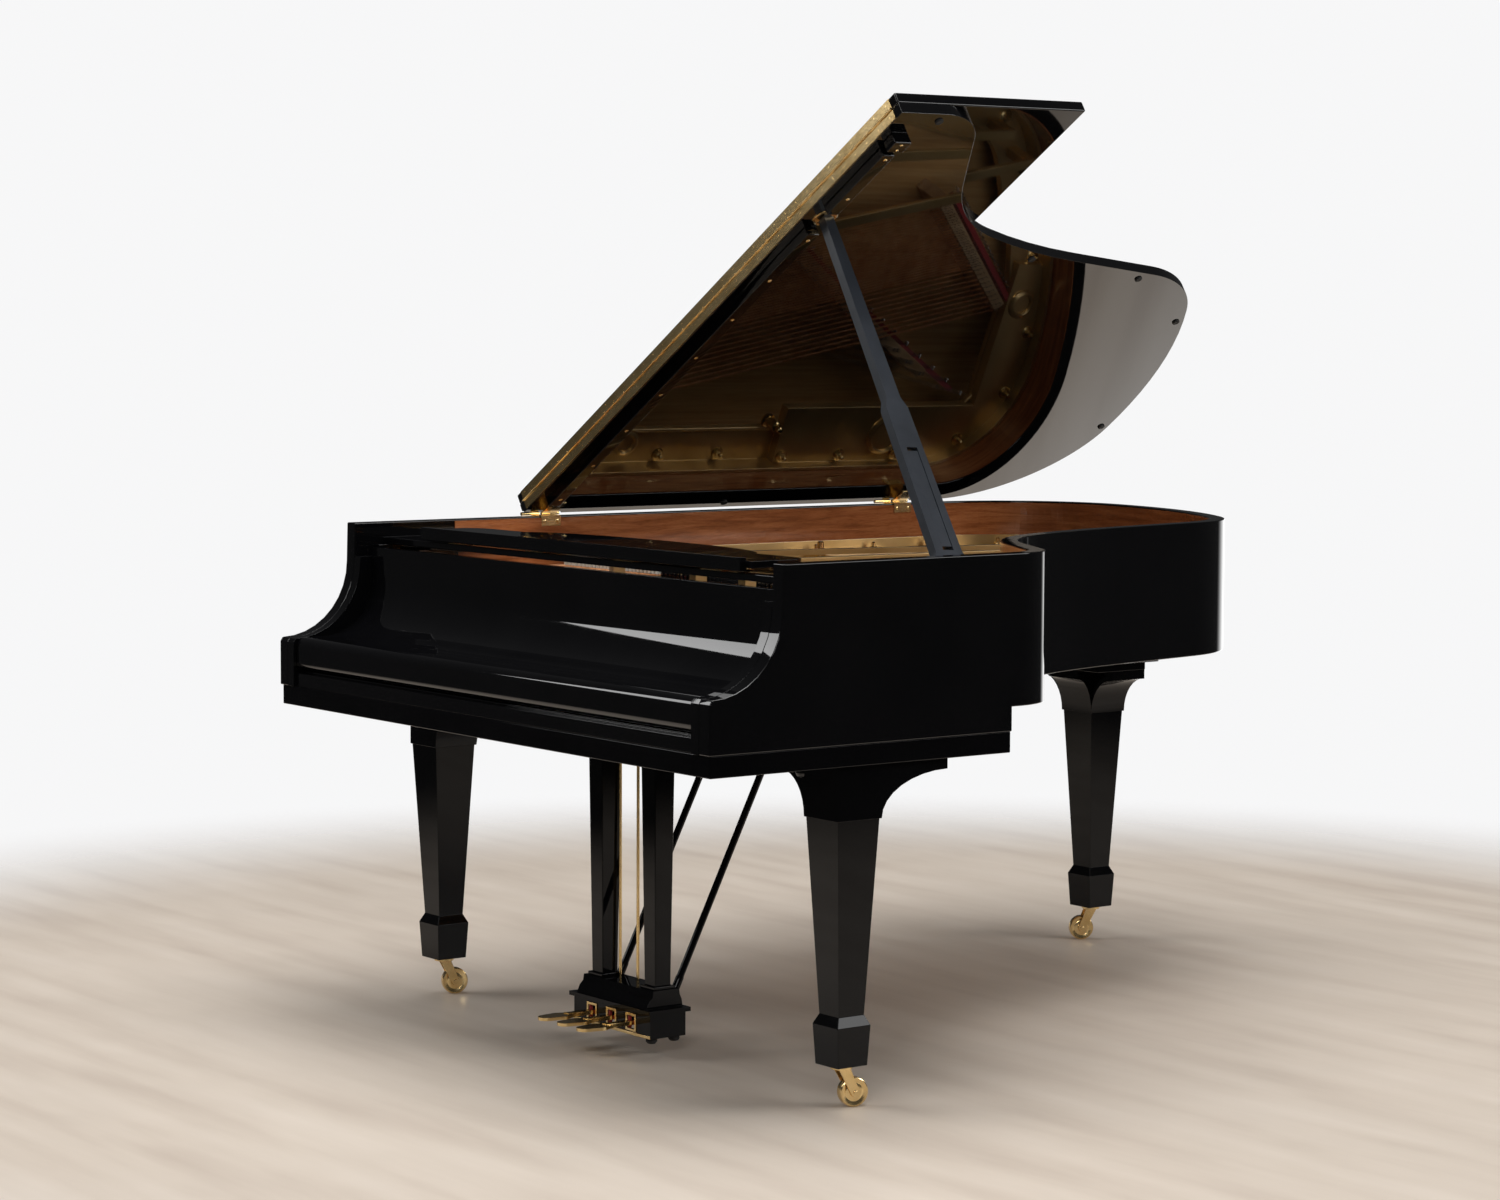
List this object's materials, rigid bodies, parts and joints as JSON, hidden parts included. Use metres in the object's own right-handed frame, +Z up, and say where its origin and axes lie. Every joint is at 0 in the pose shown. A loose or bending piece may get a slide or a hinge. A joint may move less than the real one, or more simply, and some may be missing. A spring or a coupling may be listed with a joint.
{
  "type": "grand piano",
  "caption": "Gloss black grand piano with its lid raised on a stick, fallboard closed, music desk folded, pedal lyre and brass casters.",
  "frame": {"origin": "on the floor, under the centre of the box round the open piano", "axes": "+Z up, +Y from the keyboard to the tail, +X from the bass side to the treble side"},
  "size_m": [1.5096, 1.9976, 1.8144],
  "materials": {
    "black_polyester": "high gloss",
    "mahogany": "gloss",
    "beech": "satin",
    "spruce": "satin",
    "bronze_plate": "satin gold lacquer",
    "polished_brass": "polished",
    "steel_wire": "bright",
    "copper_wire": "bright",
    "key_white": "gloss",
    "key_black": "satin",
    "hammer_felt": "felt",
    "satin_slate": "satin",
    "soft_rubber": "matt"
  },
  "bodies": {
    "case": {"outer_rim": "black_polyester", "rim_veneer": "mahogany", "inner_rim": "beech", "keybed": "black_polyester", "key_slip": "black_polyester", "arm_cheeks": "black_polyester", "belly_rail": "beech", "back_posts": "beech", "leg_blocks": "black_polyester", "pin_block": "beech", "iron_plate": "bronze_plate", "soundboard": "spruce", "bridges": "beech", "treble_strings": "steel_wire", "bass_strings": "copper_wire", "tuning_pins": "steel_wire", "desk_rails": "black_polyester", "rim_hinge_leaves": "polished_brass", "prop_bracket": "polished_brass", "bass_leg": "black_polyester", "treble_leg": "black_polyester", "tail_leg": "black_polyester", "lyre_top": "black_polyester", "lyre_posts": "black_polyester", "lyre_box": "black_polyester", "pedal_escutcheons": "polished_brass", "lyre_braces": "black_polyester"},
    "action": {"key_frame": "beech", "hammer_rail": "beech"},
    "white_key_set": {"white_keys": "key_white"},
    "black_key_set": {"black_keys": "key_black"},
    "white_hammer_set": {"white_key_hammers": "hammer_felt"},
    "black_hammer_set": {"black_key_hammers": "hammer_felt"},
    "dampers": {"damper_heads": "black_polyester", "damper_tray": "beech"},
    "fall": {"fallboard": "black_polyester"},
    "desk_base": {"desk_shelf": "black_polyester"},
    "desk": {"music_desk": "black_polyester"},
    "desk_struts": {"desk_props": "polished_brass"},
    "lid": {"main_lid": "black_polyester", "lid_long_leaf": "polished_brass", "lid_batten": "black_polyester", "lid_bumpers": "soft_rubber", "lid_hinge_leaves": "polished_brass"},
    "flap": {"front_flap": "black_polyester", "flap_long_leaf": "polished_brass"},
    "stick": {"prop_stick": "satin_slate"},
    "short_stick": {"half_stick": "satin_slate"},
    "bass_fork": {"bass_caster_fork": "polished_brass"},
    "bass_wheel": {"bass_caster_wheel": "polished_brass"},
    "treble_fork": {"treble_caster_fork": "polished_brass"},
    "treble_wheel": {"treble_caster_wheel": "polished_brass"},
    "tail_fork": {"tail_caster_fork": "polished_brass"},
    "tail_wheel": {"tail_caster_wheel": "polished_brass"},
    "left_pedal_lever": {"left_pedal": "polished_brass"},
    "left_pedal_rod": {"left_rod": "polished_brass"},
    "middle_pedal_lever": {"middle_pedal": "polished_brass"},
    "middle_pedal_rod": {"middle_rod": "polished_brass"},
    "right_pedal_lever": {"right_pedal": "polished_brass"},
    "right_pedal_rod": {"right_rod": "polished_brass"}
  },
  "joints": [
    {"name": "lid_hinge", "type": "hinge", "parent": "case", "child": "lid", "pos_m": [-0.73121, 0.10919, 0.986], "axis": [0, -1, 0], "range_deg": [-32, 0]},
    {"name": "flap_fold", "type": "hinge", "parent": "lid", "child": "flap", "pos_m": [-0.11036, -0.41381, 1.40019], "axis": [-0.848, 0, -0.5299], "range_deg": [-180, 0]},
    {"name": "stick_fold", "type": "hinge", "parent": "case", "child": "stick", "pos_m": [0.68279, -0.40581, 0.946], "axis": [-0.8835, 0.048, 0.466], "range_deg": [-180, 0]},
    {"name": "short_stick_fold", "type": "hinge", "parent": "stick", "child": "short_stick", "pos_m": [0.649, -0.40229, 0.99546], "axis": [0.0331, 0.9983, -0.0484], "range_deg": [0, 30]},
    {"name": "fallboard_hinge", "type": "hinge", "parent": "case", "child": "fall", "pos_m": [0.01479, -0.79381, 0.775], "axis": [-1, 0, 0], "range_deg": [0, 88]},
    {"name": "desk_slide", "type": "slide", "parent": "case", "child": "desk_base", "axis": [0, 1, 0], "range_m": [0, 0.08]},
    {"name": "desk_tilt", "type": "hinge", "parent": "desk_base", "child": "desk", "pos_m": [0.01479, -0.77681, 0.957], "axis": [1, 0, 0], "range_deg": [0, 65]},
    {"name": "desk_strut_fold", "type": "hinge", "parent": "desk", "child": "desk_struts", "pos_m": [0.01479, -0.67681, 0.957], "axis": [1, 0, 0], "range_deg": [-130, 0]},
    {"name": "action_shift", "type": "slide", "parent": "case", "child": "action", "axis": [1, 0, 0], "range_m": [0, 0.003]},
    {"name": "white_key_press", "type": "hinge", "parent": "action", "child": "white_key_set", "pos_m": [0.01479, -0.73681, 0.7], "axis": [1, 0, 0], "range_deg": [0, 2.5]},
    {"name": "black_key_press", "type": "hinge", "parent": "action", "child": "black_key_set", "pos_m": [0.01479, -0.73681, 0.7], "axis": [1, 0, 0], "range_deg": [0, 2.5]},
    {"name": "white_hammer_swing", "type": "hinge", "parent": "action", "child": "white_hammer_set", "pos_m": [0.01479, -0.56881, 0.775], "axis": [1, 0, 0], "range_deg": [0, 12]},
    {"name": "black_hammer_swing", "type": "hinge", "parent": "action", "child": "black_hammer_set", "pos_m": [0.01479, -0.56881, 0.775], "axis": [1, 0, 0], "range_deg": [0, 12]},
    {"name": "damper_lift", "type": "slide", "parent": "case", "child": "dampers", "axis": [0, 0, 1], "range_m": [0, 0.006]},
    {"name": "left_pedal_press", "type": "hinge", "parent": "case", "child": "left_pedal_lever", "pos_m": [-0.05121, -0.64781, 0.062], "axis": [1, 0, 0], "range_deg": [0, 6]},
    {"name": "left_rod_lift", "type": "slide", "parent": "case", "child": "left_pedal_rod", "axis": [0, 0, 1], "range_m": [0, 0.0017]},
    {"name": "middle_pedal_press", "type": "hinge", "parent": "case", "child": "middle_pedal_lever", "pos_m": [0.01479, -0.64781, 0.062], "axis": [1, 0, 0], "range_deg": [0, 6]},
    {"name": "middle_rod_lift", "type": "slide", "parent": "case", "child": "middle_pedal_rod", "axis": [0, 0, 1], "range_m": [0, 0.0017]},
    {"name": "right_pedal_press", "type": "hinge", "parent": "case", "child": "right_pedal_lever", "pos_m": [0.08079, -0.64781, 0.062], "axis": [1, 0, 0], "range_deg": [0, 6]},
    {"name": "right_rod_lift", "type": "slide", "parent": "case", "child": "right_pedal_rod", "axis": [0, 0, 1], "range_m": [0, 0.0017]},
    {"name": "bass_caster_swivel", "type": "hinge", "parent": "case", "child": "bass_fork", "pos_m": [-0.65521, -0.65581, 0.077], "axis": [0, 0, 1], "continuous": true},
    {"name": "bass_caster_roll", "type": "hinge", "parent": "bass_fork", "child": "bass_wheel", "pos_m": [-0.64768, -0.63514, 0.027], "axis": [0.9397, -0.342, 0], "continuous": true},
    {"name": "treble_caster_swivel", "type": "hinge", "parent": "case", "child": "treble_fork", "pos_m": [0.68479, -0.65581, 0.077], "axis": [0, 0, 1], "continuous": true},
    {"name": "treble_caster_roll", "type": "hinge", "parent": "treble_fork", "child": "treble_wheel", "pos_m": [0.69049, -0.63456, 0.027], "axis": [0.9659, -0.2588, 0], "continuous": true},
    {"name": "tail_caster_swivel", "type": "hinge", "parent": "case", "child": "tail_fork", "pos_m": [-0.38021, 0.89119, 0.077], "axis": [0, 0, 1], "continuous": true},
    {"name": "tail_caster_roll", "type": "hinge", "parent": "tail_fork", "child": "tail_wheel", "pos_m": [-0.39121, 0.87213, 0.027], "axis": [-0.866, 0.5, 0], "continuous": true}
  ],
  "couplings": [
    {"joint": "stick_fold", "follows": "lid_hinge", "ratio": 5.625},
    {"joint": "desk_strut_fold", "follows": "desk_tilt", "ratio": -2},
    {"joint": "white_hammer_swing", "follows": "white_key_press", "ratio": 4.8},
    {"joint": "black_hammer_swing", "follows": "black_key_press", "ratio": 4.8},
    {"joint": "action_shift", "follows": "left_pedal_press", "m_per_rad": 0.028619},
    {"joint": "damper_lift", "follows": "right_pedal_press", "m_per_rad": 0.057238},
    {"joint": "left_rod_lift", "follows": "left_pedal_press", "m_per_rad": 0.016},
    {"joint": "middle_rod_lift", "follows": "middle_pedal_press", "m_per_rad": 0.016},
    {"joint": "right_rod_lift", "follows": "right_pedal_press", "m_per_rad": 0.016}
  ]
}
